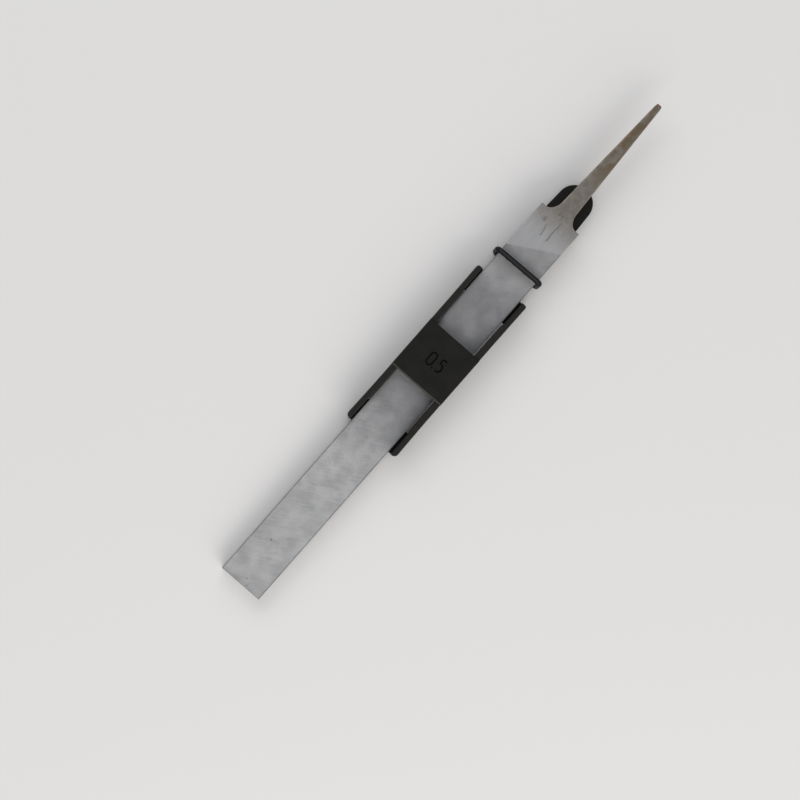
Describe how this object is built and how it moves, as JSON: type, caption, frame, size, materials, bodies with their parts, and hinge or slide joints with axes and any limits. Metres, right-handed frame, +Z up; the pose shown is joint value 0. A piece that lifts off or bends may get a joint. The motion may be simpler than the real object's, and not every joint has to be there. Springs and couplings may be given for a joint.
{
  "type": "ski base edge file guide",
  "caption": "Plastic sleeve that holds a flat hand file at half a degree to its sole for bevelling a ski's base edge, with a rubber ring clamping file to tongue.",
  "frame": {"origin": "middle of the tip-side bar's underside, on the guide's sole", "axes": "+X along the file towards its tang, +Y across the file, +Z up from the sole"},
  "size_m": [0.262, 0.0266, 0.0109],
  "materials": {
    "file_steel": "satin, fine single cut, bare heel and darker tang",
    "guide_plastic": "fine moulded texture",
    "ring_rubber": "satin"
  },
  "bodies": {
    "guide": {"guide_body": "guide_plastic"},
    "file": {"file": "file_steel"},
    "ring": {"o_ring": "ring_rubber"}
  },
  "joints": [
    {"name": "file_slide", "type": "slide", "parent": "guide", "child": "file", "axis": [1, 0, 0.0087], "range_m": [-0.024, 0.078]},
    {"name": "ring_slide", "type": "slide", "parent": "guide", "child": "ring", "axis": [1, 0, 0.0087], "range_m": [-0.007, 0.024]}
  ]
}
